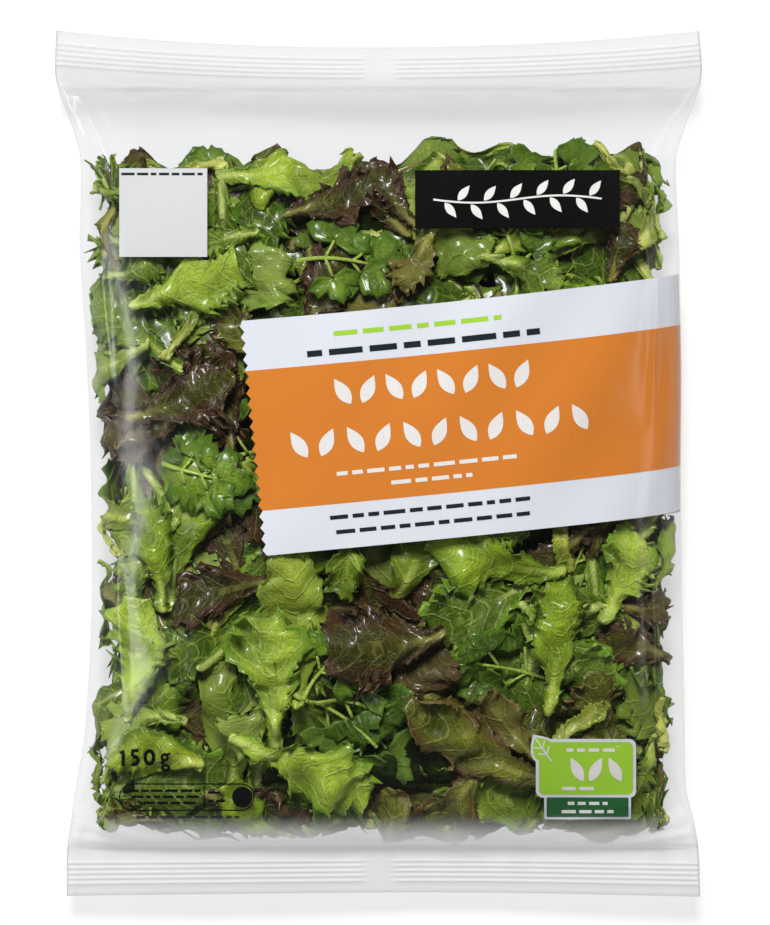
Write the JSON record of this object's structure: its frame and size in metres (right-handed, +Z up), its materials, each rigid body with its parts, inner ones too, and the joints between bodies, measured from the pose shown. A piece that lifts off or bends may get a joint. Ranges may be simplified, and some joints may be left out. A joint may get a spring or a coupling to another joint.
{
  "type": "sealed bag of salad leaves",
  "caption": "Pillow bag of clear film, crimp-sealed at both ends and full of loose mixed salad leaves, lying on its back with a printed band and badges on the front.",
  "frame": {"origin": "on the floor that the bag lies on, under the middle of its outer box", "axes": "+Z up, out of the printed front; +Y along the bag, towards the top seal; +X to the right of the print"},
  "size_m": [0.2113, 0.283, 0.052],
  "materials": {
    "film": "clear, glossy, slightly milky",
    "print": "ink under glossy film: white, orange, black and greens",
    "green_leaves": "fresh leaf, satin",
    "red_leaves": "fresh leaf, satin",
    "herb_leaves": "fresh leaf, matt"
  },
  "bodies": {
    "root": {"salad_bag": "film"}
  },
  "joints": []
}
